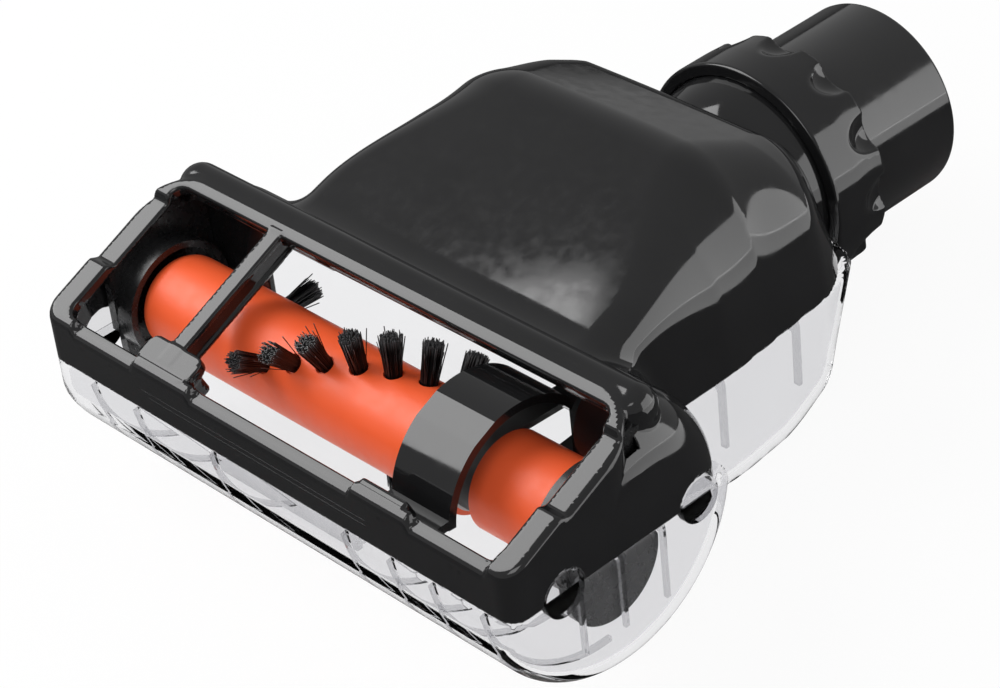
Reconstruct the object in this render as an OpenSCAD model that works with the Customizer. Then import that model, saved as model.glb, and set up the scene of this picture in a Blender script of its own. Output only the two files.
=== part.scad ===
// Vacuum cleaner turbo brush, resting on its clear cover with the suction mouth up.
// X runs along the roller, -Y is the front nose, +Y the pipe connector, Z is up.
// All sizes in millimetres.

/* [Head] */
// width of the head over both end walls
head_w = 140; // [130:1:160]
// radius of the clear drum round the roller
drum_r = 32; // [31.5:0.1:33]
// wall of the black shell
wall = 2.2; // [1.8:0.1:2.6]
// wall of the clear cover
clear_wall = 2; // [1.6:0.1:2.4]
// tilt of the mouth plane against the parting plane
mouth_tilt = 24.3; // [22:0.1:26]
// height of the mouth plane over the parting plane above the roller
mouth_h = 23.9; // [23:0.1:25]
// drop of the low stretches of the mouth rim
rim_dip = 1.6; // [1:0.1:2]
// corner radius of the nose seen from above
nose_r = 4.5; // [3.5:0.1:8]

/* [Roller] */
// radius of the roller core
core_r = 10.7; // [9.5:0.1:11.2]
// radius at the bristle tips
tip_r = 20; // [18:0.1:20.5]
// diameter of one bristle tuft at its root
tuft_d = 4.2; // [3:0.1:4.6]
// rounding of the ends of the roller core
core_round = 4.5; // [3:0.1:7]
// helix of a tuft row in degrees for each millimetre
helix = 2.13; // [1.6:0.01:2.4]

/* [Housing] */
// width of the turbine housing at the parting plane
pod_w = 95; // [90:1:98]
// lift of the housing roof over its drawn height
pod_lift = 0; // [-0.5:0.1:2]

/* [Connector] */
// radius of the adapter tube
tube_r = 23.05; // [22.6:0.05:23.6]
// length of the adapter tube behind the grip collar
tube_len = 28.6; // [20:0.2:45]
// radius of the swivel ball
ball_r = 25; // [24.2:0.1:25.2]
// wall of the soft pipe sleeve
sleeve_wall = 3.45; // [2.5:0.05:5]
// number of finger dents in the collar
dents = 12; // [8:1:14]

/* [Hidden] */

hw = head_w / 2;
rim_in = hw - 6.3;
front = 28.2;
drum_y = 1.2;
drum_z = 3.8;
floor_z = drum_r - drum_z;
ax_z = 3.2;
tube_z = 0.3;
ball_y = 114;
collar_y = 110.4;
stub_r = ball_r - 6.5;
duct_r = stub_r - 2.1;
collar_r = ball_r + 2.9;
socket_r = tube_r - 1.85;
pipe_r = socket_r - sleeve_wall;
collar_l = 16.3;
tube_end = collar_y + collar_l + tube_len;
yc = (tube_end - front) / 2;
tm = mouth_tilt;
belt_x0 = pod_w / 2 - 14.1;
belt_x1 = belt_x0 + 5.2;
guard_x0 = belt_x0 - 5.4;
guard_x1 = belt_x1 + 5.4;
rp_r = 7.4;
tp_r = 3.7;
tur_y = 61.5;
tur_z = 4;
tur_r = 18.5;
cham_r = 20;
plate_x0 = hw - 5.4;
plate_x1 = hw - 3.1;
fine = 96;

// stations of the tufts along the roller, for both rows
row_x0 = -21.2;
row_k = (guard_x0 - 5.6 - row_x0) / 43.6;
lone_x = -37.9;
row_a = [for (d = [0, 7.5, 14.8, 22.2, 29.4, 36.6, 43.6]) row_x0 + d * row_k];
row_b = concat([lone_x], [for (d = [3.6, 10.8, 18, 25.2, 32.4, 39.6]) row_x0 + d * row_k]);
row_a0 = 31;
tuft_in = 1.2;
tuft_flare = 0.35;

function zm(y) = mouth_h + tan(tm) * y;
function tuft_turn(a0, x) = -(a0 + helix * (x - row_x0));

// lays a body built in the drawing frame into the shared frame
module F() {
  translate([0, -yc, floor_z]) children();
}

// the mouth plane's own frame
module MF() {
  translate([0, 0, mouth_h]) rotate([tm, 0, 0]) children();
}

// a side profile (y, z) swept along x
module xsec(x0, x1) {
  translate([x0, 0, 0]) rotate([90, 0, 90]) linear_extrude(x1 - x0) children();
}

// a profile (radius, y) turned about a line along y at height z
module yturn(z) {
  translate([0, 0, z]) rotate([-90, 0, 0]) rotate_extrude($fn = fine) children();
}

// a profile (radius, x) turned about a line along x
module xturn(y, z) {
  translate([0, y, z]) rotate([90, 0, 90]) rotate_extrude($fn = fine) children();
}

module box(x0, x1, y0, y1, z0, z1) {
  translate([x0, y0, z0]) cube([x1 - x0, y1 - y0, z1 - z0]);
}

module rrect(x0, x1, y0, y1, rf, rb) {
  translate([x0 + rf, y0]) square([x1 - x0 - 2 * rf, y1 - y0 - rb]);
  translate([x0 + rb, y0 + rf]) square([x1 - x0 - 2 * rb, y1 - y0 - rf]);
  translate([x0, y0 + rf]) square([x1 - x0, y1 - y0 - rf - rb]);
  for (s = [0, 1]) {
    translate([s ? x1 - rf : x0 + rf, y0 + rf]) circle(rf, $fn = 64);
    translate([s ? x1 - rb : x0 + rb, y1 - rb]) circle(rb, $fn = 64);
  }
}

module plan(o, z0, z1) {
  translate([0, 0, z0]) linear_extrude(z1 - z0)
    rrect(-hw + o, hw - o, -front + o, 34 - o, nose_r - o, 11 - o);
}

module below_mouth(d) {
  MF() translate([-150, -150, -300 + d]) cube([300, 300, 300]);
}

// one rounded end drum of the clear cover
module drum(o) {
  c = 6 - o;
  r = drum_r - o;
  h = hw - o;
  translate([0, drum_y, drum_z]) rotate([0, 90, 0]) rotate_extrude($fn = fine) union() {
    translate([0, -h + c]) square([r, 2 * h - 2 * c]);
    translate([0, -h]) square([r - c, 2 * h]);
    translate([r - c, -h + c]) circle(c, $fn = 64);
    translate([r - c, h - c]) circle(c, $fn = 64);
  }
}

// side profile of the black head above the parting plane
module head_prof(o) {
  difference() {
    union() {
      translate([8.3, 1.5]) circle(24 - o, $fn = fine);
      polygon([[-front + o, -2], [-front + o, 40], [8.3, 40], [8.3, -2]]);
      if (o == 0) {
        translate([10.5 + 5 * sin(tm), zm(10.5) - 5 * cos(tm)]) circle(5, $fn = 64);
        polygon([[8, 20], [8, 40], [10.5, 40], [10.5, zm(10.5)],
          [10.5 + 5 * sin(tm), zm(10.5) - 5 * cos(tm)]]);
      }
    }
    translate([-60, -200]) square([140, 200]);
  }
}

module ball8(x, y, z, r) {
  for (s = [-1, 1]) translate([s * x, y, z]) sphere(r, $fn = 32);
}

module puck(x, y, r, h) {
  for (s = [-1, 1]) translate([s * x, y, min(0, h)]) cylinder(r = r, h = abs(h), $fn = 32);
}

// upper half of the rounded turbine housing, inset by o
module pod_up(o) {
  px = pod_w / 2;
  hull() {
    puck(px - 8, 27, 8 - o, 0.5);
    puck(px - 8, 54, 8 - o, 0.5);
    puck(px - 17.2, 97.5, 10 - o, 0.5);
    ball8(px - 8.2, 24.8, 16.5, 7.8 - o);
    ball8(px - 22.5, 67.3, 26.8 + pod_lift, 12.3 - o);
    ball8(px - 18.1, 84.4, 17.4, 15.2 - o);
  }
}

// lower half of the rounded turbine housing, inset by o
module pod_low(o) {
  px = pod_w / 2;
  hull() {
    puck(px - 8, 24, 8 - o, -0.5);
    puck(px - 8, 54, 8 - o, -0.5);
    puck(px - 17.2, 97.5, 10 - o, -0.5);
    ball8(px - 8, 27, -floor_z + 10, 8 - o);
    ball8(px - 6.5, 60, -floor_z + 8.4, 8.4 - o);
    ball8(px - 10.3, 71.1, -floor_z + 10.4, 10.4 - o);
    ball8(px - 15.5, 83.6, -floor_z + 15, 13.1 - o);
  }
}

// bulkhead that the ball's stub clips into
module bulkhead(z0, z1) {
  difference() {
    box(-44, 44, 88, 90.5, z0, z1);
    translate([0, 80, tube_z]) rotate([-90, 0, 0]) cylinder(r = stub_r, h = 30, $fn = fine);
  }
}

// room for the ball and its stub in both shells
module ball_room() {
  translate([0, 91.6, tube_z]) rotate([-90, 0, 0]) cylinder(r = stub_r + 0.2, h = 30, $fn = fine);
  yturn(tube_z) difference() {
    translate([0, ball_y]) circle(ball_r + 0.2, $fn = fine);
    translate([-60, 0]) square([60, 300]);
  }
}

module rim_cut(x0, x1) {
  d = rim_dip;
  MF() translate([0, -27, 0]) rotate([90, 0, 0]) linear_extrude(6)
    polygon([[x0, -d], [x1, -d], [x1 + d + 1, 1], [x0 - d - 1, 1]]);
}

module end_cut() {
  d = rim_dip;
  c = cos(tm);
  for (s = [-1, 1]) MF() translate([s > 0 ? rim_in - 1 : -hw - 1, 0, 0])
    rotate([90, 0, 90]) linear_extrude(hw - rim_in + 2)
      polygon([[-12.6 / c, -d], [2.4 / c, -d], [2.4 / c + d + 1.3, 1], [-12.6 / c - d - 1.3, 1]]);
}

module base_shell() {
  color([0.03, 0.03, 0.035]) F() {
    difference() {
      union() {
        intersection() {
          xsec(-hw, hw) head_prof(0);
          plan(0, 0, 60);
          below_mouth(0);
        }
        pod_up(0);
      }
      // roller chamber
      intersection() {
        union() {
          xsec(-hw + wall, hw - wall) head_prof(wall);
          box(-hw + wall, hw - wall, -front + wall, 34 - wall, -1, 1);
        }
        plan(wall, -1, 60);
        below_mouth(-3);
      }
      // housing cavity
      difference() {
        translate([0, 0, -0.02]) pod_up(wall);
        box(-hw, hw, 0, 17, 18, 60);
      }
      // mouth
      MF() translate([0, 0, -9]) linear_extrude(12)
        rrect(-rim_in, rim_in, -28.3, 7.7, 3, 3);
      rim_cut(-hw + 10.8, -40.6);
      rim_cut(-21.4, 24.6);
      rim_cut(42.6, hw - 7.4);
      end_cut();
      ball_room();
      // latch notches
      for (s = [-1, 1]) for (y = [-14.9, 21.5])
        translate([s * (hw - wall / 2), y, 0]) rotate([0, 90, 0])
          cylinder(r = 5.2, h = wall + 4, center = true, $fn = 64);
    }
    // bar across the mouth with its foot on the front rim
    MF() {
      box(-35.1, -30.9, -27.5, 9, -1.8, 0);
      box(-33.9, -32.1, -27.5, 9, -5.4, -1.7);
      box(-34.5, -31.5, -27.5, 9, -6.4, -5.3);
      box(-40.6, -24.3, -29.6, -25.2, -7, -2);
      translate([0, 0, -2.6]) linear_extrude(2.6)
        rrect(-40.6, -24.3, -29.6, -22.6, 0.8, 2.6);
      box(26.6, 39.8, -29.6, -27.2, -5, 0);
    }
    // inner panels behind the roller ends
    intersection() {
      union() {
        box(-hw + 3, lone_x - 9.1, 14.2, 15.8, 0, 26);
        box(guard_x1, hw - 3, 14.2, 15.8, 0, 26);
      }
      xsec(-hw, hw) head_prof(0);
      below_mouth(-1);
    }
    // ribs that hold the turbine chamber
    difference() {
      intersection() {
        union() {
          box(-19, -17, 52, 72, 18, 60);
          box(17, 19, 52, 72, 18, 60);
        }
        pod_up(0.6);
      }
      translate([-60, tur_y, tur_z]) rotate([0, 90, 0])
        cylinder(r = cham_r + 1.5, h = 120, $fn = fine);
    }
    intersection() {
      bulkhead(0, 60);
      pod_up(0.5);
    }
  }
}

module clear_cover() {
  w = clear_wall;
  color([0.86, 0.88, 0.9, 0.3]) F() {
    difference() {
      union() {
        intersection() {
          drum(0);
          plan(0, -60, 0);
        }
        pod_low(0);
      }
      intersection() {
        drum(w);
        plan(w, -60, 0.5);
      }
      translate([0, 0, 0.02]) pod_low(w);
      ball_room();
    }
    intersection() {
      bulkhead(-60, 0);
      pod_low(0.5);
    }
    // curved stiffening ribs inside the drum
    for (x = [-55, -41, -16.6, 23, 36, 47.6, hw - 8.4]) intersection() {
      difference() {
        translate([x - 0.45, drum_y, drum_z]) rotate([0, 90, 0])
          cylinder(r = drum_r - w + 0.2, h = 0.9, $fn = fine);
        translate([x - 1, drum_y, drum_z]) rotate([0, 90, 0])
          cylinder(r = drum_r - w - 1.1, h = 2, $fn = fine);
      }
      box(-hw, hw, -front + 0.8, 4, -60, -0.5);
    }
    // upright ribs on the inside of the end walls
    for (s = [-1, 1]) for (y = [-9.7, 1.3, 12.7])
      box(s > 0 ? hw - w - 0.9 : -hw + w - 0.2, s > 0 ? hw - w + 0.2 : -hw + w + 0.9,
        y - 0.5, y + 0.5, -19, -0.5);
    // upright ribs in the housing belly
    intersection() {
      for (y = [54, 79.5]) {
        box(pod_w / 2 - 3.6, pod_w / 2 + 3, y - 0.5, y + 0.5, -18, -0.5);
        box(-pod_w / 2 - 3, -pod_w / 2 + 3.6, y - 0.5, y + 0.5, -18, -0.5);
      }
      pod_low(0.8);
    }
    // round latch tabs in the end walls
    for (s = [-1, 1]) for (y = [-14.9, 21.5])
      translate([s * (hw - w / 2 - 0.05), y, 0]) rotate([0, 90, 0])
        cylinder(r = 5, h = w - 0.1, center = true, $fn = 64);
    // inner lip behind the front rim
    box(-20, 24, -front + wall + 0.1, -front + wall + 1.5, -6, 5.5);
    box(-20, 24, -front + w - 0.3, -front + wall + 1.5, -6, -0.5);
  }
}

module belt_guard() {
  color([0.04, 0.04, 0.045]) F() {
    difference() {
      intersection() {
        xsec(guard_x0, guard_x1) difference() {
          translate([0, ax_z]) circle(19.5, $fn = fine);
          translate([0, ax_z]) circle(17.6, $fn = fine);
          polygon([[0, ax_z], [-40, ax_z + 3], [-40, -40], [40, -40], [40, ax_z + 11.4],
            [19.5, ax_z + 11.4]]);
        }
        below_mouth(0.4);
      }
    }
    box(guard_x0, guard_x1, -front + wall, -17.9, 4.9, 6.9);
  }
}

module end_plate(s) {
  x0 = s > 0 ? plate_x0 : -plate_x1;
  x1 = s > 0 ? plate_x1 : -plate_x0;
  c0 = s > 0 ? hw - 10.4 : -plate_x0 - 0.2;
  c1 = s > 0 ? plate_x0 + 0.2 : -hw + 10.4;
  color([0.05, 0.05, 0.055]) F() difference() {
    union() {
      intersection() {
        xsec(x0, x1) union() {
          translate([-13.5, 0]) square([27.5, 40]);
          translate([-12.2, -4.5]) square([24.4, 6]);
          translate([0, -4.3]) circle(12.2, $fn = 64);
        }
        union() {
          xsec(-hw, hw) head_prof(wall);
          box(-hw, hw, -20, 20, -40, 1);
        }
        below_mouth(-3);
      }
      translate([c0, 0, ax_z]) rotate([0, 90, 0]) cylinder(r = 13.4, h = c1 - c0, $fn = fine);
    }
    translate([s > 0 ? c0 - 1 : c0 + 0.7, 0, ax_z]) rotate([0, 90, 0])
      cylinder(r = 11.9, h = c1 - c0 + 0.3, $fn = fine);
    translate([x0 - 3, 0, ax_z]) rotate([0, 90, 0]) cylinder(r = 4, h = 8, $fn = 48);
  }
}

module bush(s) {
  x0 = s > 0 ? plate_x0 - 1 : -plate_x1;
  color([0.75, 0.6, 0.3]) F() translate([x0, 0, ax_z]) rotate([0, 90, 0]) difference() {
    cylinder(r = 4, h = plate_x1 - plate_x0 + 1, $fn = 48);
    translate([0, 0, -1]) cylinder(r = 2.05, h = 8, $fn = 48);
  }
}

module roller_axle() {
  color([0.7, 0.7, 0.72]) F() translate([-hw + 3.2, 0, ax_z]) rotate([0, 90, 0])
    cylinder(r = 2, h = head_w - 6.4, $fn = 48);
}

module tuft_hole() {
  r = tuft_d / 2 + 0.03;
  bottom = sqrt(pow(core_r - tuft_in + 0.2, 2) - pow(tuft_d / 2, 2)) - 0.02;
  translate([0, 0, bottom]) cylinder(r = r, h = 8, $fn = 32);
}

// half a turn of the roller core, from its axis out to the rounded end edge
function core_half(e, c) = concat([[0, e]],
  [for (i = [0:8]) [core_r - c + c * sin(i * 11.25), e - c + c * cos(i * 11.25)]]);

module roller_core() {
  e = hw - 8.2;
  edge = core_half(e, core_round);
  color([0.9, 0.25, 0.06]) F() difference() {
    xturn(0, ax_z) polygon(concat(edge, [for (i = [len(edge) - 1:-1:0]) [edge[i][0], -edge[i][1]]]));
    translate([-hw, 0, ax_z]) rotate([0, 90, 0]) cylinder(r = 2.01, h = head_w, $fn = 48);
    // blind holes that the tufts are stapled into
    for (x = row_a) on_roller(x, tuft_turn(row_a0, x)) tuft_hole();
    for (x = row_b) on_roller(x, tuft_turn(row_a0 + 180, x)) tuft_hole();
    translate([belt_x0 - 1.4, 0, ax_z]) rotate([0, 90, 0]) difference() {
      cylinder(r = 20, h = belt_x1 - belt_x0 + 2.8, $fn = fine);
      translate([0, 0, -1]) cylinder(r = 5, h = 20, $fn = 64);
    }
  }
}

// lays a body built along +Z onto the roller at station x, turned by a
module on_roller(x, a) {
  translate([x, 0, ax_z]) rotate([a, 0, 0]) rotate([90, 0, 0]) children();
}

module bristle_row(a0, xs) {
  color([0.02, 0.02, 0.02]) F() difference() {
    for (x = xs) on_roller(x, tuft_turn(a0, x)) translate([0, 0, core_r - tuft_in])
      cylinder(r1 = tuft_d / 2 - 0.05, r2 = tuft_d / 2 + tuft_flare,
        h = tip_r - core_r + tuft_in, $fn = 32);
    translate([-hw, 0, ax_z]) rotate([0, 90, 0])
      cylinder(r = core_r - tuft_in + 0.2, h = head_w, $fn = fine);
  }
}

module roller_pulley() {
  color([0.85, 0.85, 0.82]) F() translate([belt_x0 - 1.4, 0, ax_z]) rotate([0, 90, 0])
    difference() {
      union() {
        cylinder(r = rp_r, h = belt_x1 - belt_x0 + 2.8, $fn = fine);
        cylinder(r = rp_r + 2, h = 1, $fn = fine);
        translate([0, 0, belt_x1 - belt_x0 + 1.8]) cylinder(r = rp_r + 2, h = 1, $fn = fine);
      }
      translate([0, 0, -1]) cylinder(r = 5, h = 20, $fn = 64);
    }
}

// outline of a belt loop round two pulleys d apart, tangent at the angle b
module belt_loop(ra, rb, d, b) {
  n = 36;
  polygon(concat(
    [for (i = [0:n]) let (t = b + (360 - 2 * b) * i / n) [ra * cos(t), ra * sin(t)]],
    [for (i = [0:n]) let (t = 2 * b * i / n - b) [d + rb * cos(t), rb * sin(t)]]));
}

module drive_belt() {
  d = sqrt(tur_y * tur_y + (tur_z - ax_z) * (tur_z - ax_z));
  g = atan2(tur_z - ax_z, tur_y);
  b = acos((rp_r - tp_r) / d);
  color([0.05, 0.05, 0.05]) F() xsec(belt_x0, belt_x1) translate([0, ax_z]) rotate(g)
    difference() {
      belt_loop(rp_r + 1.45, tp_r + 1.45, d, b);
      belt_loop(rp_r + 0.05, tp_r + 0.05, d, b);
    }
}

module turbine_chamber() {
  r = cham_r;
  color([0.16, 0.16, 0.17]) F() difference() {
    translate([-23, tur_y, tur_z]) rotate([0, 90, 0]) cylinder(r = r + 1.5, h = 46, $fn = fine);
    translate([-21, tur_y, tur_z]) rotate([0, 90, 0]) cylinder(r = r, h = 42, $fn = fine);
    // inlet from the roller side, outlet to the swivel neck
    box(-18, 18, tur_y - r - 3, tur_y - 8, -13.5, -4);
    box(-15, 15, tur_y + 8, tur_y + r + 3, -9, 15);
    translate([-30, tur_y, tur_z]) rotate([0, 90, 0]) cylinder(r = 4.5, h = 60, $fn = 48);
  }
}

module turbine_wheel() {
  color([0.8, 0.8, 0.78]) F() translate([-19, tur_y, tur_z]) rotate([0, 90, 0])
    difference() {
      union() {
        cylinder(r = 5, h = 38, $fn = 64);
        cylinder(r = tur_r, h = 1.4, $fn = fine);
        translate([0, 0, 36.6]) cylinder(r = tur_r, h = 1.4, $fn = fine);
        intersection() {
          cylinder(r = tur_r, h = 38, $fn = fine);
          linear_extrude(38) for (i = [0:11]) rotate(i * 30) translate([4, -0.6])
            rotate(14) square([18, 1.2]);
        }
      }
      translate([0, 0, -1]) cylinder(r = 1.5, h = 40, $fn = 48);
    }
}

module turbine_shaft() {
  color([0.7, 0.7, 0.72]) F() translate([-26, tur_y, tur_z]) rotate([0, 90, 0])
    cylinder(r = 1.5, h = 26 + belt_x1 + 1.6, $fn = 48);
}

module turbine_pulley() {
  color([0.8, 0.7, 0.4]) F() translate([belt_x0 - 1.4, tur_y, tur_z]) rotate([0, 90, 0])
    difference() {
      union() {
        cylinder(r = tp_r, h = belt_x1 - belt_x0 + 2.8, $fn = 64);
        cylinder(r = tp_r + 2, h = 1, $fn = 64);
        translate([0, 0, belt_x1 - belt_x0 + 1.8]) cylinder(r = tp_r + 2, h = 1, $fn = 64);
      }
      translate([0, 0, -1]) cylinder(r = 1.5, h = 20, $fn = 48);
    }
}

module turbine_bearing(x) {
  color([0.6, 0.6, 0.62]) F() translate([x, tur_y, tur_z]) rotate([0, 90, 0]) difference() {
    cylinder(r = 4.5, h = 2.4, $fn = 64);
    translate([0, 0, -1]) cylinder(r = 1.55, h = 6, $fn = 48);
  }
}

// a ring between two stations, hollowed to the ball with a running gap
module seat_ring(y0, y1) {
  yturn(tube_z) difference() {
    polygon([[ball_r - 5, y0], [ball_r + 1.2, y0], [ball_r + 1.2, y1], [ball_r - 5, y1]]);
    translate([0, ball_y]) circle(ball_r + 0.05, $fn = fine);
  }
}

module ball_seat() {
  color([0.8, 0.8, 0.78]) F() seat_ring(collar_y + 1.4, ball_y + 6);
}

module seal_ring() {
  color([0.05, 0.05, 0.05]) F() seat_ring(ball_y + 6, ball_y + 7.9);
}

// hollow ball whose stub clips into the bulkheads of both shells
module swivel_ball() {
  color([0.03, 0.03, 0.035]) F() yturn(tube_z) difference() {
    union() {
      intersection() {
        translate([0, ball_y]) circle(ball_r, $fn = fine);
        translate([duct_r, 96]) square([20, ball_y - 89]);
      }
      translate([duct_r, 86.4]) square([stub_r - duct_r, 15]);
      translate([duct_r, 86.4]) square([stub_r + 4 - duct_r, 1.6]);
      translate([duct_r, 90.5]) square([stub_r + 3 - duct_r, 1.4]);
    }
    polygon([[duct_r - 1.4, 98], [duct_r, 100], [ball_r - 3.6, 111], [ball_r - 3.6, 130],
      [duct_r - 1.4, 130]]);
  }
}

module grip_collar() {
  y0 = collar_y;
  y1 = collar_y + collar_l;
  ri = ball_r + 1.25;
  color([0.04, 0.04, 0.045]) F() difference() {
    yturn(tube_z) polygon([[ball_r - 0.05, y0 + 0.7], [ball_r + 0.3, y0], [collar_r - 0.6, y0],
      [collar_r, y0 + 0.6], [collar_r - 0.2, y1 - 0.6], [collar_r - 0.8, y1], [tube_r, y1], [tube_r, y1 - 0.9],
      [ri, y1 - 0.9], [ri, y0 + 1.3], [ball_r - 0.05, y0 + 1.3]]);
    for (i = [0:dents - 1]) translate([0, 0, tube_z]) rotate([0, i * 360 / dents, 0])
      translate([collar_r + 5.1, y1 + 1.4, 0]) sphere(7.2, $fn = 48);
  }
}

// tube with a bell that closes the ball joint from behind
module adapter_tube() {
  y0 = ball_y + 8;
  y1 = collar_y + collar_l - 0.9;
  r0 = socket_r - 3.2;
  color([0.04, 0.04, 0.045]) F() yturn(tube_z) difference() {
    union() {
      translate([r0, y0]) square([ball_r + 1.25 - r0, y1 - y0]);
      polygon([[r0, y0 + 1], [tube_r, y0 + 1], [tube_r, tube_end - 0.5],
        [tube_r - 0.5, tube_end], [r0, tube_end]]);
    }
    translate([0, ball_y]) circle(ball_r + 0.1, $fn = fine);
    translate([0, 127.6]) square([socket_r, 200]);
    translate([0, 100]) square([socket_r - 1.2, 100]);
  }
}

module pipe_sleeve() {
  y0 = 130;
  y1 = tube_end - 0.6;
  color([0.9, 0.3, 0.08]) F() yturn(tube_z) polygon([[pipe_r, y0], [socket_r, y0],
    [socket_r, y1], [pipe_r + 0.8, y1], [pipe_r, y1 - 1.2]]);
}

base_shell();
clear_cover();
belt_guard();
end_plate(-1);  // end_plate_left
end_plate(1);  // end_plate_right
bush(-1);  // bush_left
bush(1);  // bush_right
roller_axle();
roller_core();
bristle_row(row_a0, row_a);  // bristle_row_a
bristle_row(row_a0 + 180, row_b);  // bristle_row_b
roller_pulley();
drive_belt();
turbine_chamber();
turbine_wheel();
turbine_shaft();
turbine_pulley();
turbine_bearing(-23.2);  // turbine_bearing_left
turbine_bearing(20.8);  // turbine_bearing_right
ball_seat();
seal_ring();
swivel_ball();
grip_collar();
adapter_tube();
pipe_sleeve();
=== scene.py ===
import math
import random

import bpy
import numpy as np
from mathutils import Matrix, Vector


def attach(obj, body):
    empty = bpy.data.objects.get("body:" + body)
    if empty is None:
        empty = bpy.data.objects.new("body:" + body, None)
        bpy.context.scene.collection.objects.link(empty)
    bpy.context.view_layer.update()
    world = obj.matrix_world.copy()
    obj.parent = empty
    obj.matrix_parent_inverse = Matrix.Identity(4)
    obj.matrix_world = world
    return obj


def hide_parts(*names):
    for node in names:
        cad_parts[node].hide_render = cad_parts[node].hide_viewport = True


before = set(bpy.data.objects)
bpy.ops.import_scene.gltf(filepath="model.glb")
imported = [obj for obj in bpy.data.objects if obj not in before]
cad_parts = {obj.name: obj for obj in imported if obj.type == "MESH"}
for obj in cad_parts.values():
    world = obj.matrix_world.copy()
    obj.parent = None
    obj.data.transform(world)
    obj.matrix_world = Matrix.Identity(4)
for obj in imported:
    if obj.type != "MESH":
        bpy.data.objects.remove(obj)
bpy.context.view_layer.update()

# how the drawing frame of the part sits in the shared frame, in millimetres
SHIFT_Y = -63.55
SHIFT_Z = 28.2


def at(x, y, z):
    """A point of the drawing frame, given in millimetres, in the shared frame in metres."""
    return Vector((x, y + SHIFT_Y, z + SHIFT_Z)) * 0.001


# Camera, fitted to the photograph: place in the drawing frame in millimetres, and its three axes

CAMERA_PLACE = (407.926, -311.614, 368.984)
CAMERA_RIGHT = (0.69342551, 0.71443435, -0.09351265)
CAMERA_UP = (-0.35695691, 0.45336206, 0.81672799)
CAMERA_BACK = (0.62589362, -0.53296004, 0.5693951)


def make_camera():
    data = bpy.data.cameras.new("camera")
    data.sensor_width = 36.0
    data.lens = 113.41
    data.clip_start = 0.01
    camera = bpy.data.objects.new("camera", data)
    turn = Matrix((CAMERA_RIGHT, CAMERA_UP, CAMERA_BACK)).transposed().to_4x4()
    camera.matrix_world = Matrix.Translation(at(*CAMERA_PLACE)) @ turn
    bpy.context.scene.collection.objects.link(camera)
    bpy.context.scene.camera = camera


# Materials

def new_material(name, **sockets):
    """A Principled material with its constant sockets set, and the tree to add to."""
    material = bpy.data.materials.new(name)
    material.use_nodes = True
    tree = material.node_tree
    shader = tree.nodes["Principled BSDF"]
    for socket, value in sockets.items():
        shader.inputs[socket.replace("_", " ")].default_value = value
    return material, tree, shader


def noise(tree, scale, detail=3.0, stretch=(1.0, 1.0, 1.0)):
    """A noise texture in object space, scale in features per metre."""
    place = tree.nodes.new("ShaderNodeTexCoord")
    mapping = tree.nodes.new("ShaderNodeMapping")
    mapping.inputs["Scale"].default_value = stretch
    texture = tree.nodes.new("ShaderNodeTexNoise")
    texture.inputs["Scale"].default_value = scale
    texture.inputs["Detail"].default_value = detail
    tree.links.new(place.outputs["Object"], mapping.inputs["Vector"])
    tree.links.new(mapping.outputs["Vector"], texture.inputs["Vector"])
    return texture


def vary(tree, texture, socket, low, high):
    """Spreads a texture's values over low to high and feeds them to a socket."""
    spread = tree.nodes.new("ShaderNodeMapRange")
    spread.inputs["From Min"].default_value = 0.3
    spread.inputs["From Max"].default_value = 0.7
    spread.inputs["To Min"].default_value = low
    spread.inputs["To Max"].default_value = high
    tree.links.new(texture.outputs["Fac"], spread.inputs["Value"])
    tree.links.new(spread.outputs["Result"], socket)


def tint(tree, texture, socket, dark, light):
    """Mixes two colours by a texture's values."""
    mix = tree.nodes.new("ShaderNodeMix")
    mix.data_type = "RGBA"
    mix.inputs["A"].default_value = (*dark, 1.0)
    mix.inputs["B"].default_value = (*light, 1.0)
    tree.links.new(texture.outputs["Fac"], mix.inputs["Factor"])
    tree.links.new(mix.outputs["Result"], socket)


def bump(tree, shader, texture, height, strength=1.0):
    """Surface relief of that height in metres."""
    node = tree.nodes.new("ShaderNodeBump")
    node.inputs["Strength"].default_value = strength
    node.inputs["Distance"].default_value = height
    tree.links.new(texture.outputs["Fac"], node.inputs["Height"])
    tree.links.new(node.outputs["Normal"], shader.inputs["Normal"])


def mix_shaders(tree, share, first, second):
    """The first shader where share is 0 and the second where it is 1."""
    mix = tree.nodes.new("ShaderNodeMixShader")
    tree.links.new(share, mix.inputs["Fac"])
    tree.links.new(first, mix.inputs[1])
    tree.links.new(second, mix.inputs[2])
    return mix.outputs["Shader"]


def combine_rays(tree, operation, first, second):
    """Two kinds of ray put into one share from 0 to 1."""
    path = tree.nodes.new("ShaderNodeLightPath")
    node = tree.nodes.new("ShaderNodeMath")
    node.operation = operation
    node.use_clamp = True
    tree.links.new(path.outputs[first], node.inputs[0])
    tree.links.new(path.outputs[second], node.inputs[1])
    return node.outputs["Value"]


def seen_directly(tree):
    """1 for rays from the camera, also behind clear plastic."""
    return combine_rays(tree, "MAXIMUM", "Is Camera Ray", "Is Transmission Ray")


def seen_in_gloss(tree):
    """1 for mirrored rays, but 0 for those that went through clear plastic."""
    return combine_rays(tree, "SUBTRACT", "Is Glossy Ray", "Is Transmission Ray")


def glow(tree, strength):
    """White light given off by a surface."""
    node = tree.nodes.new("ShaderNodeEmission")
    node.inputs["Color"].default_value = (1.0, 1.0, 1.0, 1.0)
    node.inputs["Strength"].default_value = strength
    return node.outputs["Emission"]


def black_gloss():
    """Polished black shell, with the faint waviness of a moulding."""
    material, tree, shader = new_material("black_gloss", IOR=1.5)
    tint(tree, noise(tree, 60.0), shader.inputs["Base Color"], (0.006, 0.006, 0.0065), (0.011, 0.011, 0.0115))
    vary(tree, noise(tree, 350.0), shader.inputs["Roughness"], 0.05, 0.11)
    bump(tree, shader, noise(tree, 90.0, 1.0), 0.00002, 0.3)
    return material


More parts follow.
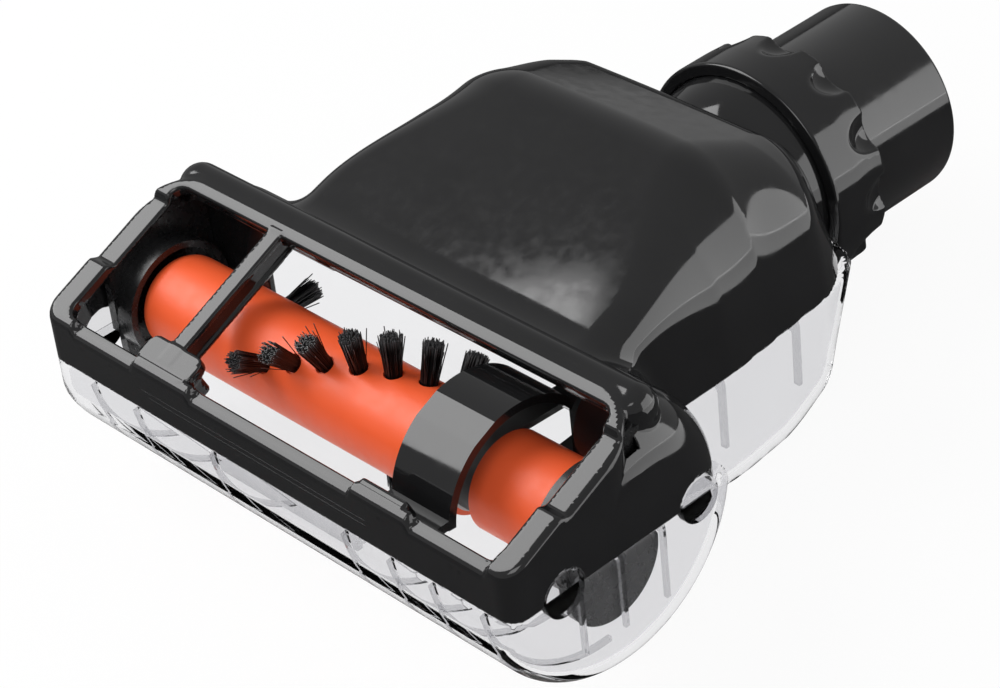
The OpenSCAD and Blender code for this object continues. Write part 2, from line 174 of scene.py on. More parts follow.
def black_inner():
    """Satin black of the plates inside the head."""
    material, tree, shader = new_material("black_inner", IOR=1.5)
    tint(tree, noise(tree, 80.0), shader.inputs["Base Color"], (0.007, 0.007, 0.0075), (0.013, 0.013, 0.0135))
    vary(tree, noise(tree, 500.0), shader.inputs["Roughness"], 0.2, 0.34)
    bump(tree, shader, noise(tree, 1400.0), 0.00002, 0.4)
    return material


def clear_plastic(name, ior, dark):
    """Clear moulded plastic whose shadows stay light."""
    material, tree, shader = new_material(name, IOR=ior, Transmission_Weight=1.0)
    pale = tuple(1.04 * v for v in dark)
    tint(tree, noise(tree, 40.0), shader.inputs["Base Color"], dark, pale)
    vary(tree, noise(tree, 120.0), shader.inputs["Roughness"], 0.0, 0.03)
    bump(tree, shader, noise(tree, 150.0, 1.0), 0.00003, 0.3)
    see_through = tree.nodes.new("ShaderNodeBsdfTransparent")
    see_through.inputs["Color"].default_value = (0.86, 0.865, 0.87, 1.0)
    path = tree.nodes.new("ShaderNodeLightPath")
    mixed = mix_shaders(tree, path.outputs["Is Shadow Ray"], shader.outputs["BSDF"], see_through.outputs["BSDF"])
    tree.links.new(mixed, tree.nodes["Material Output"].inputs["Surface"])
    return material


def orange_core():
    """Satin orange-red of the roller's core."""
    material, tree, shader = new_material("orange_core", IOR=1.45, Specular_IOR_Level=0.4)
    tint(tree, noise(tree, 55.0), shader.inputs["Base Color"], (0.84, 0.105, 0.03), (0.9, 0.125, 0.037))
    vary(tree, noise(tree, 420.0), shader.inputs["Roughness"], 0.34, 0.46)
    bump(tree, shader, noise(tree, 1600.0), 0.00003, 0.35)
    return material


def plain_plastic(name, dark, light, rough):
    """Moulded plastic or rubber between two shades, with a fine grain."""
    material, tree, shader = new_material(name, IOR=1.48)
    tint(tree, noise(tree, 70.0), shader.inputs["Base Color"], dark, light)
    vary(tree, noise(tree, 450.0), shader.inputs["Roughness"], rough - 0.05, rough + 0.07)
    bump(tree, shader, noise(tree, 1500.0), 0.00003, 0.35)
    return material


def metal(name, dark, light, rough):
    """Metal between two shades, brushed along the piece."""
    material, tree, shader = new_material(name, Metallic=1.0)
    tint(tree, noise(tree, 90.0), shader.inputs["Base Color"], dark, light)
    brushed = noise(tree, 600.0, 4.0, (1.0, 0.08, 0.08))
    vary(tree, brushed, shader.inputs["Roughness"], rough - 0.08, rough + 0.08)
    bump(tree, shader, brushed, 0.00002, 0.3)
    return material


def bristle_nylon():
    """Black filaments with paler cut ends, read from the tip attribute of the mesh."""
    material, tree, shader = new_material("bristle_nylon", IOR=1.5, Roughness=0.34)
    place = tree.nodes.new("ShaderNodeAttribute")
    place.attribute_name = "tip"
    mix = tree.nodes.new("ShaderNodeMix")
    mix.data_type = "RGBA"
    mix.inputs["A"].default_value = (0.004, 0.004, 0.0045, 1.0)
    mix.inputs["B"].default_value = (0.06, 0.06, 0.062, 1.0)
    tree.links.new(place.outputs["Fac"], mix.inputs["Factor"])
    tree.links.new(mix.outputs["Result"], shader.inputs["Base Color"])
    bump(tree, shader, noise(tree, 4000.0), 0.00002, 0.3)
    return material


# Mesh helpers

def make_piece(name, verts, faces, material, smooth=True):
    """An object made of these faces, linked to the scene."""
    mesh = bpy.data.meshes.new(name)
    mesh.from_pydata(verts, [], faces)
    mesh.update()
    if smooth:
        mesh.shade_smooth()
    mesh.materials.append(material)
    piece = bpy.data.objects.new(name, mesh)
    bpy.context.scene.collection.objects.link(piece)
    return piece


# Moulded shells, as signed distances in the drawing frame in millimetres

HEAD_HALF = 70.0
FRONT_Y = 28.2
NOSE_R = 4.5
WALL = 2.2
REAR_Y = 8.3
REAR_Z = 1.5
REAR_R = 24.0
MOUTH_H = 23.9
TILT = math.radians(24.3)
RIM_IN = 63.7
RIM_DIP = 1.6
RIM_LOWS = ((-59.2, -41.2), (-21.6, 24.8), (42.8, 62.4))
BAR_REAR = 9.0
FOOT_FRONT = -29.6
LATCH_YS = (-14.9, 21.5)
TUBE_Z = 0.3
BALL_Y = 114.0
BALL_R = 25.2
STUB_R = 18.7
STUB_Y = 91.6
DRUM_R = 32.0
DRUM_Y = 1.2
DRUM_Z = 3.8
CLEAR_WALL = 2.0

# housing: circles (place, place, radius) that its outline is rolled round
POD_HALF = 47.5
POD_PLAN = [(0.0, 97.5, 10.0), (30.3, 97.5, 10.0), (29.4, 84.4, 15.2), (39.5, 54.0, 8.0), (39.5, -50.0, 8.0)]
ROOF_PROFILE = [(24.8, 16.5, 7.8), (67.3, 26.8, 12.3), (84.4, 17.4, 15.2), (104.5, 0.0, 3.0), (104.5, -50.0, 3.0)]
BELLY_PROFILE = [(27.0, 18.2, 8.0), (60.0, 19.8, 8.4), (71.1, 17.8, 10.4), (83.6, 13.2, 13.1),
                 (105.5, 0.0, 2.0), (105.5, -50.0, 2.0)]


def rmax(a, b, r):
    """Intersection of two solids with the edge between them rounded to radius r."""
    return np.minimum(np.maximum(a, b), -r) + np.hypot(np.maximum(a + r, 0), np.maximum(b + r, 0))


def smin(a, b, k):
    """Union of two solids with a soft fillet of size k."""
    h = np.clip(0.5 + 0.5 * (b - a) / k, 0, 1)
    return b + (a - b) * h - k * h * (1 - h)


def ramp(t, low, high):
    """Goes smoothly from 0 to 1 as t goes from low to high."""
    s = np.clip((t - low) / (high - low), 0, 1)
    return s * s * (3 - 2 * s)


def between(t, low, high, soft):
    """1 inside a stretch and 0 outside it, with soft ends."""
    return ramp(t, low - soft, low) * (1 - ramp(t, high, high + soft))


def box3(x, y, z, low, high, r):
    """A box with all its edges rounded to radius r."""
    q = [np.abs(v - 0.5 * (a + b)) - 0.5 * (b - a) + r for v, a, b in zip((x, y, z), low, high)]
    outside = np.sqrt(sum(np.maximum(v, 0) ** 2 for v in q))
    return outside + np.minimum(np.maximum(np.maximum(q[0], q[1]), q[2]), 0) - r


def chain(u, v, circles):
    """Distance to an outline rolled clockwise round circles (u, v, radius), open at both ends."""
    normals = []
    for a, b in zip(circles, circles[1:]):
        length = math.hypot(b[0] - a[0], b[1] - a[1])
        du, dv = (b[0] - a[0]) / length, (b[1] - a[1]) / length
        lean = (a[2] - b[2]) / length
        rise = math.sqrt(1 - lean * lean)
        normals.append((lean * du - rise * dv, lean * dv + rise * du))
    sides = [(u - c[0]) * n[0] + (v - c[1]) * n[1] - c[2] for c, n in zip(circles, normals)]
    reach = sides[0]
    for side in sides[1:]:
        reach = np.maximum(reach, side)
    for c, before, after in zip(circles[1:], normals, normals[1:]):
        pu, pv = u - c[0], v - c[1]
        wedge = (before[0] * pv - before[1] * pu <= 0) & (pu * after[1] - pv * after[0] <= 0)
        reach = np.where(wedge, np.hypot(pu, pv) - c[2], reach)
    return reach


def mouth_frame(y, z):
    """Place along and height over the tilted mouth plane."""
    rise = z - MOUTH_H
    return y * math.cos(TILT) + rise * math.sin(TILT), rise * math.cos(TILT) - y * math.sin(TILT)


def pod_upper(x, y, z):
    """Roof and sides of the turbine housing."""
    half = np.abs(x)
    plan = chain(half, y, POD_PLAN)
    draft = 0.02 + 0.05 * ramp(y, 25, 60)
    corner = 7.8 + 13.2 * ramp(y, 30, 66) - 4.0 * ramp(y, 68, 86)
    crown = 0.83 * (half / POD_HALF) ** 2
    return rmax(plan + draft * np.maximum(z, 0), chain(y, z, ROOF_PROFILE) + crown, corner)


def head_outer(x, y, z):
    """The black head above the parting plane, without the mouth."""
    half = np.abs(x)
    along, over = mouth_frame(y, z)
    rear = np.minimum(np.hypot(y - REAR_Y, z - REAR_Z) - REAR_R, y - 10.5)
    bead = np.hypot(y - 12.56, z - 24.09) - 5.0
    front = rmax(half - HEAD_HALF, -y - FRONT_Y, NOSE_R)
    plan = np.where(y < 0, front, half - HEAD_HALF)
    body = smin(rmax(plan, rear, 12.0), rmax(half - HEAD_HALF + 2.5, bead, 4.5), 1.6)
    return rmax(body, over + dips(x, along), 1.3)


def dips(x, along):
    """How far the rim lies under the mouth plane."""
    half = np.abs(x)
    front = 1 - ramp(along, -25.5, -24.5)
    low = sum(between(x, start, end, 1.6) for start, end in RIM_LOWS)
    ends = between(along, -13.8, 2.6, 2.2) * ramp(half, 60.5, 61.0)
    groove = between(along, -29.7, -28.9, 0.35) * front * np.clip(low, 0, 1)
    return RIM_DIP * np.maximum(front * low, ends) + 0.3 * groove


def head_inner(x, y, z):
    """Room for the roller under the rim."""
    half = np.abs(x)
    along, over = mouth_frame(y, z)
    rear = np.where(y > REAR_Y, np.hypot(y - REAR_Y, z - REAR_Z) - REAR_R + WALL, -20)
    side = rmax(half - HEAD_HALF + WALL, -FRONT_Y + WALL - y, NOSE_R - WALL)
    return np.maximum(rmax(side, rear, 9.8), over + 3)


def mouth_cut(x, y, z):
    """The opening in the mouth plane."""
    along, over = mouth_frame(y, z)
    flat = rmax(np.abs(x) - RIM_IN, np.abs(along + 10.3) - 18.0, 3.0)
    return np.maximum(flat, -over - 9)


def neck_room(x, y, z):
    """Room that both shells leave for the ball and its stub."""
    ball = np.sqrt(x ** 2 + (y - BALL_Y) ** 2 + (z - TUBE_Z) ** 2) - BALL_R
    stub = np.maximum(np.hypot(x, z - TUBE_Z) - STUB_R, STUB_Y - y)
    return np.minimum(ball, stub)


def pad(x, along, over):
    """Foot of the bar on the front rim, with rounded corners seen from above."""
    flat = rmax(np.abs(x + 32.45) - 8.15, np.abs(along + 26.1) - 3.5, 2.6)
    return rmax(flat, np.abs(over + 1.3) - 1.3, 0.5)


def base_shell_shape(x, y, z):
    """The whole black shell: head, mouth rim, bar, tabs, inner panels and housing."""
    along, over = mouth_frame(y, z)
    outer = smin(head_outer(x, y, z), np.maximum(pod_upper(x, y, z), 12 - y), 4.5)
    pod = np.maximum(pod_upper(x, y, z) + WALL, 17 - y)
    shell = rmax(outer, -np.minimum(head_inner(x, y, z), pod), 0.5)
    shell = rmax(shell, -mouth_cut(x, y, z), 0.9)
    parts = [
        box3(x, along, over, (-40.6, FOOT_FRONT, -7.0), (-24.3, -25.2, -1.4), 0.8),
        pad(x, along, over),
        box3(x, along, over, (26.6, FOOT_FRONT, -5.0), (39.8, -27.0, 0.0), 0.9),
        box3(x, along, over, (-35.1, -27.5, -1.9), (-30.9, BAR_REAR, -0.1), 0.6),
        box3(x, along, over, (-33.9, -27.5, -5.6), (-32.1, BAR_REAR, -1.2), 0.3),
        box3(x, along, over, (-34.5, -27.5, -6.4), (-31.5, BAR_REAR, -5.3), 0.4),
    ]
    panels = np.minimum(
        box3(x, y, z, (-67, 14.2, -1), (-47, 15.8, 26), 0.3),
        box3(x, y, z, (43, 14.2, -1), (67, 15.8, 26), 0.3))
    for part in parts:
        shell = smin(shell, part, 0.5)
    shell = smin(shell, np.maximum(panels, outer + 0.5), 0.4)
    shell = rmax(shell, -neck_room(x, y, z), 0.4)
    for latch_y in LATCH_YS:
        latch = np.hypot(y - latch_y, z) - 5.2
        shell = rmax(shell, -np.maximum(latch, HEAD_HALF - WALL - 3 - np.abs(x)), 0.3)
    return rmax(shell, -z, 0.25)


def pod_lower(x, y, z):
    """Belly of the clear cover under the turbine housing."""
    half = np.abs(x)
    plan = chain(half, y, POD_PLAN)
    flare = 0.09 * np.maximum(-z, 0) * between(y, 50, 72, 22)
    return rmax(rmax(plan - flare, chain(y, -z, BELLY_PROFILE), 8.0), 16.0 - y, 6.0)


def drum(x, y, z, inset):
    """Rounded drum under the roller."""
    half = np.abs(x)
    round_off = 6.0 - inset
    turned = rmax(np.hypot(y - DRUM_Y, z - DRUM_Z) - DRUM_R + inset, half - HEAD_HALF + inset, round_off)
    nose = rmax(half - HEAD_HALF + inset, -y - FRONT_Y + inset, NOSE_R - inset)
    return np.maximum(turned, nose)


def clear_cover_shape(x, y, z):
    """Thin clear shell: drum and belly in one, open at the parting plane."""
    outer = smin(drum(x, y, z, 0.0), pod_lower(x, y, z), 2.0)
    inner = smin(drum(x, y, z, CLEAR_WALL), pod_lower(x, y, z) + CLEAR_WALL, 2.0)
    shell = np.maximum(outer, -inner)
    return rmax(rmax(shell, -neck_room(x, y, z), 0.3), z + 0.1, 0.4)


def slope(shape, points, step=0.03):
    """Direction in which the distance grows, at each point."""
    parts = []
    for axis in range(3):
        ahead, behind = points.copy(), points.copy()
        ahead[:, axis] += step
        behind[:, axis] -= step
        parts.append(shape(*ahead.T) - shape(*behind.T))
    return np.stack(parts, 1) / (2 * step)


def net(shape, xs, ys, zs):
    """Surface net of a signed distance on a grid: points pulled to the surface, and quads."""
    gx, gy, gz = np.meshgrid(xs, ys, zs, indexing="ij")
    value = shape(gx, gy, gz).astype(np.float32)
    inside = value < 0
    cells = np.zeros(tuple(n - 1 for n in value.shape), int)
    for corner in np.ndindex(2, 2, 2):
        cut = tuple(slice(c, n - 1 + c) for c, n in zip(corner, value.shape))
        cells += inside[cut]
    active = np.argwhere((cells > 0) & (cells < 8))
    total = np.zeros((len(active), 3))
    count = np.zeros(len(active))
    axes = (xs, ys, zs)
    for axis in range(3):
        for offset in np.ndindex(2, 2):
            start = active.copy()
            others = [i for i in range(3) if i != axis]
            for i, step in zip(others, offset):
                start[:, i] += step
            end = start.copy()
            end[:, axis] += 1
            a, b = value[tuple(start.T)], value[tuple(end.T)]
            cross = (a < 0) != (b < 0)
            share = np.where(cross, a / np.where(cross, a - b, 1), 0)
            spot = np.stack([axes[i][start[:, i]] for i in range(3)], 1)
            spot[:, axis] += share * (axes[axis][end[:, axis]] - axes[axis][start[:, axis]])
            total[cross] += spot[cross]
            count[cross] += 1
    points = total / count[:, None]
    index = -np.ones(cells.shape, int)
    index[tuple(active.T)] = np.arange(len(active))
    quads = []
    for axis in range(3):
        i, j = [k for k in range(3) if k != axis]
        low = [slice(1, n - 1) for n in value.shape]
        low[axis] = slice(0, value.shape[axis] - 1)
        high = list(low)
        high[axis] = slice(1, value.shape[axis])
        a, b = inside[tuple(low)], inside[tuple(high)]
        edges = np.argwhere(a != b)
        for k in (i, j):
            edges[:, k] += 1
        outward = inside[tuple(edges.T)]
        ring = []
        for di, dj in ((0, 0), (-1, 0), (-1, -1), (0, -1)):
            cell = edges.copy()
            cell[:, i] += di
            cell[:, j] += dj
            ring.append(index[tuple(cell.T)])
        ring = np.stack(ring, 1)
        flip = outward if axis == 1 else ~outward
        ring[flip] = ring[flip][:, ::-1]
        quads.append(ring)
    for _ in range(3):
        grow = slope(shape, points)
        size = np.maximum((grow ** 2).sum(1), 0.3)
        move = (shape(*points.T) / size)[:, None] * grow
        points -= np.clip(move, -0.25, 0.25)
    return points, np.concatenate(quads)


def moulded(name, shape, xs, ys, zs, material):
    """A shell meshed from its distance, with smooth normals from the same distance."""
    points, quads = net(shape, xs, ys, zs)
    normals = slope(shape, points, 0.05)
    normals /= np.maximum(np.linalg.norm(normals, axis=1), 1e-6)[:, None]
    placed = (points + np.array([0.0, SHIFT_Y, SHIFT_Z])) * 0.001
    piece = make_piece(name, placed.tolist(), quads.tolist(), material)
    piece.data.normals_split_custom_set_from_vertices(normals.tolist())
    return piece


def grid(*stretches):
    """Grid lines from stretches of (start, end, spacing)."""
    lines = [np.arange(a, b, s) for a, b, s in stretches]
    return np.concatenate(lines)


# Ribs, tabs and lip inside the clear cover

RIB_XS = (-55, -41, -16.6, 23, 36, 47.6, 61.6)


def dress_body(piece, node):
    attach(piece, "body")
    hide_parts(node)


def add_box(verts, faces, low, high):
    """A plain box between two corners."""
    first = len(verts)
    for x in (low[0], high[0]):
        for y in (low[1], high[1]):
            for z in (low[2], high[2]):
                verts.append(at(x, y, z))
    for face in ((0, 1, 3, 2), (4, 6, 7, 5), (0, 4, 5, 1), (2, 3, 7, 6), (0, 2, 6, 4), (1, 5, 7, 3)):
        faces.append(tuple(first + i for i in face))


def add_arc_rib(verts, faces, x, inner_r, outer_r, start, end):
    """Curved rib on the inside of the drum, between two angles in degrees under the axis."""
    steps = 40
    first = len(verts)
    for i in range(steps + 1):
        angle = math.radians(start + (end - start) * i / steps)
        for side in (-0.45, 0.45):
            for r in (inner_r, outer_r):
                verts.append(at(x + side, DRUM_Y - r * math.cos(angle), DRUM_Z - r * math.sin(angle)))
    for i in range(steps):
        a = first + 4 * i
        for k, n in ((0, 1), (1, 3), (3, 2), (2, 0)):
            faces.append((a + k, a + 4 + k, a + 4 + n, a + n))
    last = first + 4 * steps
    faces.append((first, first + 1, first + 3, first + 2))
    faces.append((last, last + 2, last + 3, last + 1))


def add_disc(verts, faces, x0, x1, y, z, r):
    """A round tab between two places along x."""
    steps = 48
    first = len(verts)
    for i in range(steps):
        turn = 2 * math.pi * i / steps
        for x in (x0, x1):
            verts.append(at(x, y + r * math.cos(turn), z + r * math.sin(turn)))
    ring = [first + 2 * i for i in range(steps)]
    faces.append(tuple(ring[::-1]))
    faces.append(tuple(i + 1 for i in ring))
    for a, b in zip(ring, ring[1:] + ring[:1]):
        faces.append((a, b, b + 1, a + 1))


def cover_ribs(material):
    """All that is moulded on the inside of the clear cover, and its two round tabs a side."""
    verts, faces = [], []
    for x in RIB_XS:
        add_arc_rib(verts, faces, x, 29.0, 30.3, 9.0, 92.0)
    for side in (-1, 1):
        wall_x = sorted((side * 67.1, side * 68.1))
        for y in (-9.7, 1.3, 12.7):
            add_box(verts, faces, (wall_x[0], y - 0.5, -19.0), (wall_x[1], y + 0.5, -0.5))
        belly_x = sorted((side * 44.2, side * 45.7))
        for y in (54.0, 79.5):
            shift = side * (y - 54.0) * -0.11
            add_box(verts, faces, (belly_x[0] + shift, y - 0.5, -18.0), (belly_x[1] + shift, y + 0.5, -0.5))
        tab_x = sorted((side * 68.0, side * 69.9))
        for y in LATCH_YS:
            add_disc(verts, faces, *tab_x, y, 0.0, 5.0)
    add_box(verts, faces, (-20.0, -FRONT_Y + WALL + 0.1, -6.0), (24.0, -FRONT_Y + WALL + 1.5, 5.5))
    piece = make_piece("cover_ribs", verts, faces, material, smooth=False)
    dress_body(piece, "clear_cover")


# Collar with finger dents, and the tube behind it

COLLAR_Y = 110.4
COLLAR_END = 126.7
COLLAR_R = 27.9
DENT_PITCH = math.radians(30.0)
TUBE_R = 23.05
TUBE_END = 155.3
SOCKET_R = 21.2


def collar_shape(x, y, z):
    """Grip collar: a short sleeve with finger dents that run out at its rear edge."""
    rad = np.hypot(x, z - TUBE_Z)
    body = rmax(rad - COLLAR_R + 0.25 * ramp(y, 118, COLLAR_END), np.maximum(COLLAR_Y - y, y - COLLAR_END), 0.7)
    lip = np.maximum(rad - 25.0, y - 113.0)
    hollow = np.maximum(np.maximum(rad - 26.25, COLLAR_Y + 1.3 - y), y - 119.0)
    bore = np.maximum(rad - TUBE_R - 0.9, 118.0 - y)
    body = np.maximum(body, -np.minimum(np.minimum(lip, hollow), bore))
    turn = np.arctan2(z - TUBE_Z, x)
    across = COLLAR_R * (turn - DENT_PITCH * np.round(turn / DENT_PITCH))
    reach = np.sqrt(((rad - 31.0) / 5.7) ** 2 + (across / 5.7) ** 2 + ((y - COLLAR_END - 0.6) / 9.5) ** 2)
    return rmax(body, (1.0 - reach) * 4.5, 0.45)


def lathe(name, outline, material, steps=160):
    """A closed outline (radius, y) turned about the tube's axis."""
    verts, faces = [], []
    for i in range(steps):
        turn = 2 * math.pi * i / steps
        for r, y in outline:
            verts.append(at(r * math.cos(turn), y, TUBE_Z + r * math.sin(turn)))
    count = len(outline)
    for i in range(steps):
        a, b = i * count, (i + 1) % steps * count
        for k in range(count):
            n = (k + 1) % count
            faces.append((a + k, a + n, b + n, b + k))
    return make_piece(name, verts, faces, material)


def soften_edges(piece, degrees):
    """Flat shading across edges sharper than that angle."""
    piece.data.set_sharp_from_angle(angle=math.radians(degrees))


# Bristle tufts

CORE_R = 10.7
TIP_R = 20.0
ROLLER_Z = 3.2
HELIX = 2.13  # degrees that a row turns in each millimetre
TUFT_X0 = -21.2
HAIRS = 190
SPIRAL = 2.39996  # turn from one hair to the next, which spreads them evenly
STRAY_SHARE = 0.035


def filament(verts, faces, tips, base, tip, thick, bow):
    """A four-sided hair from base to tip with a slight bow."""
    along = (tip - base).normalized()
    side = along.orthogonal().normalized()
    other = along.cross(side)
    rings = 4
    first = len(verts)
    for i in range(rings + 1):
        share = i / rings
        middle = base.lerp(tip, share) + bow * math.sin(math.pi * 0.5 * share) * share
        for k in range(4):
            turn = 0.5 * math.pi * k
            verts.append(middle + thick * (math.cos(turn) * side + math.sin(turn) * other))
            tips.append(1.0 if i == rings else 0.0)
    for i in range(rings):
        for k in range(4):
            a = first + 4 * i + k
            b = first + 4 * i + (k + 1) % 4
            faces.append((a, b, b + 4, a + 4))
    last = first + 4 * rings
    faces.append((last, last + 1, last + 2, last + 3))


def tuft(verts, faces, tips, x, degrees, seed):
    """A bundle of hairs that flares towards its cut end."""
    rng = random.Random(seed)
    angle = math.radians(degrees)
    out = Vector((0.0, -math.cos(angle), math.sin(angle)))
    along = Vector((1.0, 0.0, 0.0))
    across = out.cross(along)
    centre = Vector((x, 0.0, ROLLER_Z))
    lean = along * rng.uniform(-0.5, 0.5) + across * rng.uniform(-0.5, 0.5)
    for i in range(HAIRS):
        ring = math.sqrt((i + 0.5) / HAIRS)
        turn = i * SPIRAL + rng.uniform(-0.3, 0.3)
        spot = along * math.cos(turn) + across * math.sin(turn)
        root_r = 1.72 * ring
        tip_r = 2.35 * ring * rng.uniform(0.9, 1.12)
        stray = rng.random() < STRAY_SHARE
        reach = TIP_R - 0.15 - rng.uniform(0.0, 0.9) - 0.35 * ring
        if stray:
            tip_r *= rng.uniform(1.35, 1.9)
            reach = TIP_R - 0.4 - rng.uniform(0.0, 2.2)
        base = centre + out * (CORE_R - 0.7) + spot * root_r
        tip = centre + out * reach + spot * tip_r + lean * (0.6 + 0.4 * rng.random())
        bow = spot * rng.uniform(-0.25, 0.2) + across * rng.uniform(-0.15, 0.15)
        filament(verts, faces, tips, base, tip, rng.uniform(0.085, 0.12), bow)


def bristle_row(name, node, first_angle, stations, material):
    """A helical row of tufts that turns with the roller."""
    verts, faces, tips = [], [], []
    for i, x in enumerate(stations):
        tuft(verts, faces, tips, x, first_angle + HELIX * (x - TUFT_X0), 100 * int(first_angle) + i)
    piece = make_piece(name, [at(*v) for v in verts], faces, material, smooth=False)
    layer = piece.data.attributes.new("tip", "FLOAT", "POINT")
    for i, value in enumerate(tips):
        layer.data[i].value = value
    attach(piece, "roller")
    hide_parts(node)


# Studio

FLOOR_HALF = 3.0
CARD_LOW = (0.15, 0.0)
CARD_HIGH = 1.4
ROOM_IN_GLOSS = 0.42
FLOOR_WHITE = 0.93


def softbox(name, direction, distance, width, height, strength):
    """A rectangular lamp that faces the object, with the radiance that its reflection shows."""
    data = bpy.data.lights.new(name, "AREA")
    data.shape = "RECTANGLE"
    data.size = width
    data.size_y = height
    data.energy = strength * math.pi * width * height
    lamp = bpy.data.objects.new(name, data)
    way = Vector(direction).normalized()
    aim = Vector((0.0, 0.0, 0.03))
    turn = way.to_track_quat("Z", "Y").to_matrix().to_4x4()
    lamp.matrix_world = Matrix.Translation(aim + way * distance) @ turn
    bpy.context.scene.collection.objects.link(lamp)


def make_world():
    """White where the camera or a see-through piece looks, dim where gloss looks."""
    world = bpy.data.worlds.new("studio")
    bpy.context.scene.world = world
    world.use_nodes = True
    tree = world.node_tree
    dim = tree.nodes["Background"]
    dim.inputs["Color"].default_value = (1.0, 1.0, 1.0, 1.0)
    dim.inputs["Strength"].default_value = ROOM_IN_GLOSS
    white = tree.nodes.new("ShaderNodeBackground")
    white.inputs["Strength"].default_value = 1.0
    mixed = mix_shaders(tree, seen_directly(tree), dim.outputs["Background"], white.outputs["Background"])
    tree.links.new(mixed, tree.nodes["World Output"].inputs["Surface"])


def floor_material():
    """Pale floor: white to the camera apart from a soft shadow, and dim in the gloss."""
    material = bpy.data.materials.new("floor")
    material.use_nodes = True
    tree = material.node_tree
    lit = tree.nodes["Principled BSDF"]
    lit.inputs["Base Color"].default_value = (0.8, 0.8, 0.8, 1.0)
    lit.inputs["Roughness"].default_value = 0.9
    share = tree.nodes.new("ShaderNodeMath")
    share.operation = "MULTIPLY"
    share.inputs[1].default_value = FLOOR_WHITE
    tree.links.new(seen_directly(tree), share.inputs[0])
    seen = mix_shaders(tree, share.outputs["Value"], lit.outputs["BSDF"], glow(tree, 1.0))
    dark = tree.nodes.new("ShaderNodeBsdfDiffuse")
    dark.inputs["Color"].default_value = (0.1, 0.1, 0.1, 1.0)
    mixed = mix_shaders(tree, seen_in_gloss(tree), seen, dark.outputs["BSDF"])
    tree.links.new(mixed, tree.nodes["Material Output"].inputs["Surface"])
    return material


def flat_square(name, low, high, material):
    """A level square in metres, from a lower corner to an upper one."""
    corners = [(low[0], low[1], 0), (high, low[1], 0), (high, high, 0), (low[0], high, 0)]
    return make_piece(name, corners, [(0, 1, 2, 3)], material, smooth=False)


def make_floor():
    floor = flat_square("floor", (-FLOOR_HALF, -FLOOR_HALF), FLOOR_HALF, floor_material())
    floor.location.z = -0.0003


def make_bounce_card():
    """A card on the floor behind the right side that only the gloss sees."""
    material = bpy.data.materials.new("bounce_card")
    material.use_nodes = True
    tree = material.node_tree
    tree.nodes.remove(tree.nodes["Principled BSDF"])
    hidden = tree.nodes.new("ShaderNodeBsdfTransparent")
    mixed = mix_shaders(tree, seen_in_gloss(tree), hidden.outputs["BSDF"], glow(tree, 2.2))
    tree.links.new(mixed, tree.nodes["Material Output"].inputs["Surface"])
    card = flat_square("bounce_card", CARD_LOW, CARD_HIGH, material)


# Scene

make_camera()

gloss = black_gloss()
inner = black_inner()
clear = clear_plastic("clear_plastic", 1.08, (0.84, 0.84, 0.85))
clear_ribs = clear_plastic("clear_ribs", 1.12, (0.7, 0.7, 0.71))
orange = orange_core()
soft_orange = plain_plastic("soft_orange", (0.7, 0.09, 0.015), (0.8, 0.12, 0.02), 0.5)
pale = plain_plastic("pale_inner", (0.62, 0.62, 0.6), (0.7, 0.7, 0.68), 0.38)
dark_inner = plain_plastic("dark_inner", (0.02, 0.02, 0.022), (0.03, 0.03, 0.032), 0.36)
rubber = plain_plastic("belt_rubber", (0.012, 0.012, 0.012), (0.02, 0.02, 0.02), 0.6)
steel = metal("steel", (0.55, 0.55, 0.56), (0.66, 0.66, 0.67), 0.28)
bronze = metal("bronze", (0.5, 0.33, 0.16), (0.6, 0.41, 0.2), 0.36)
nylon = bristle_nylon()

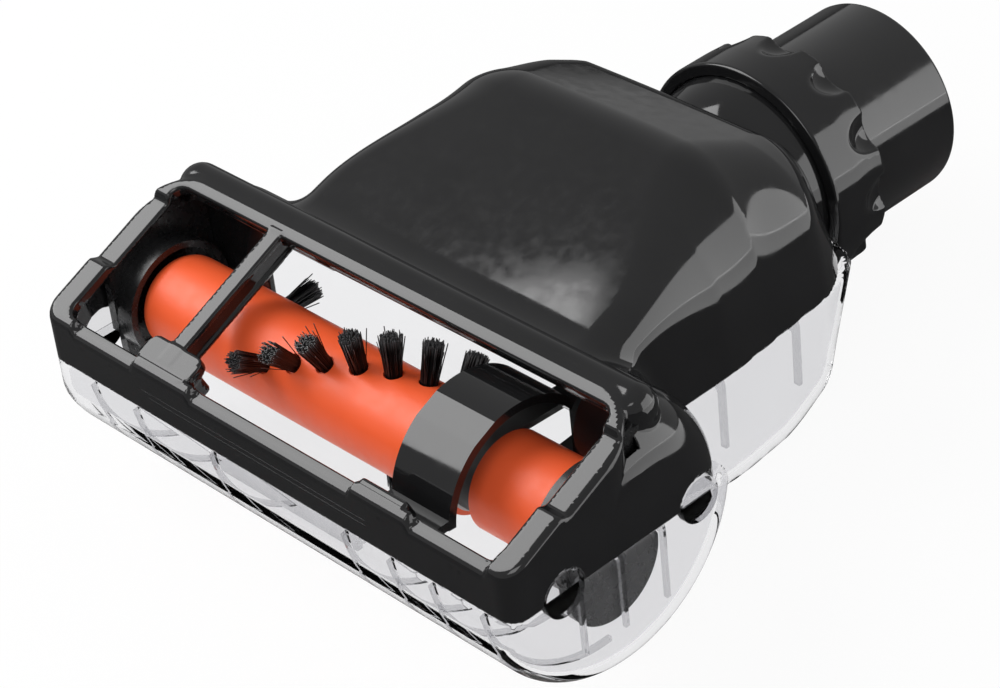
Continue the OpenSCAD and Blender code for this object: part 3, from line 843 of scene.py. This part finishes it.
finishes = {
    "base_shell": gloss, "belt_guard": gloss, "swivel_ball": gloss, "grip_collar": gloss,
    "adapter_tube": gloss, "clear_cover": clear, "end_plate_left": inner, "end_plate_right": inner,
    "bush_left": bronze, "bush_right": bronze, "roller_axle": steel, "roller_core": orange,
    "roller_pulley": pale, "drive_belt": rubber, "turbine_chamber": dark_inner,
    "turbine_wheel": pale, "turbine_shaft": steel, "turbine_pulley": bronze,
    "turbine_bearing_left": steel, "turbine_bearing_right": steel, "ball_seat": pale,
    "seal_ring": rubber, "pipe_sleeve": soft_orange,
}
for node, material in finishes.items():
    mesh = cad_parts[node].data
    mesh.materials.clear()
    mesh.materials.append(material)

shell = moulded("shell", base_shell_shape, grid((-71, 71.8, 0.75)),
                grid((-29.4, 24, 0.6), (24, 109.5, 1.1)), grid((-0.9, 41, 0.6)), gloss)
dress_body(shell, "base_shell")

cover = moulded("cover", clear_cover_shape, grid((-71, 71.8, 1.05)),
                grid((-32.4, 109.5, 1.05)), grid((-29.9, 0.9, 1.0)), clear)
dress_body(cover, "clear_cover")
cover_ribs(clear_ribs)

collar = moulded("collar", collar_shape, grid((-28.9, 29.3, 0.62)),
                 grid((COLLAR_Y - 0.8, COLLAR_END + 1.2, 0.5)), grid((-28.6, 29.6, 0.62)), gloss)
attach(collar, "connector")
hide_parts("grip_collar")

tube = lathe("tube", [(22.7, 125.0), (23.3, 123.7), (TUBE_R, 124.5), (TUBE_R, TUBE_END - 0.9),
                      (TUBE_R - 0.12, TUBE_END - 0.4), (TUBE_R - 0.45, TUBE_END - 0.1), (TUBE_R - 0.9, TUBE_END),
                      (SOCKET_R, TUBE_END), (SOCKET_R, 127.7), (22.0, 126.4)], gloss)
soften_edges(tube, 35)
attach(tube, "connector")
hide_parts("adapter_tube")

bristle_row("tufts_a", "bristle_row_a", 31, [-21.2, -13.7, -6.4, 1, 8.2, 15.4, 22.4], nylon)
bristle_row("tufts_b", "bristle_row_b", 211,
            [-38.3, -17.6, -10.4, -3.2, 4, 11.2, 18.4], nylon)


make_world()
make_floor()
make_bounce_card()
softbox("key_left", (-0.63, -0.38, 0.67), 0.9, 0.66, 0.66, 5.2)
softbox("back_right", (0.8, 0.53, 0.12), 1.0, 1.1, 0.9, 2.6)
softbox("front_fill", (0.35, -0.7, 0.75), 1.0, 0.5, 0.5, 3.0)

bpy.context.scene.view_settings.view_transform = "Standard"
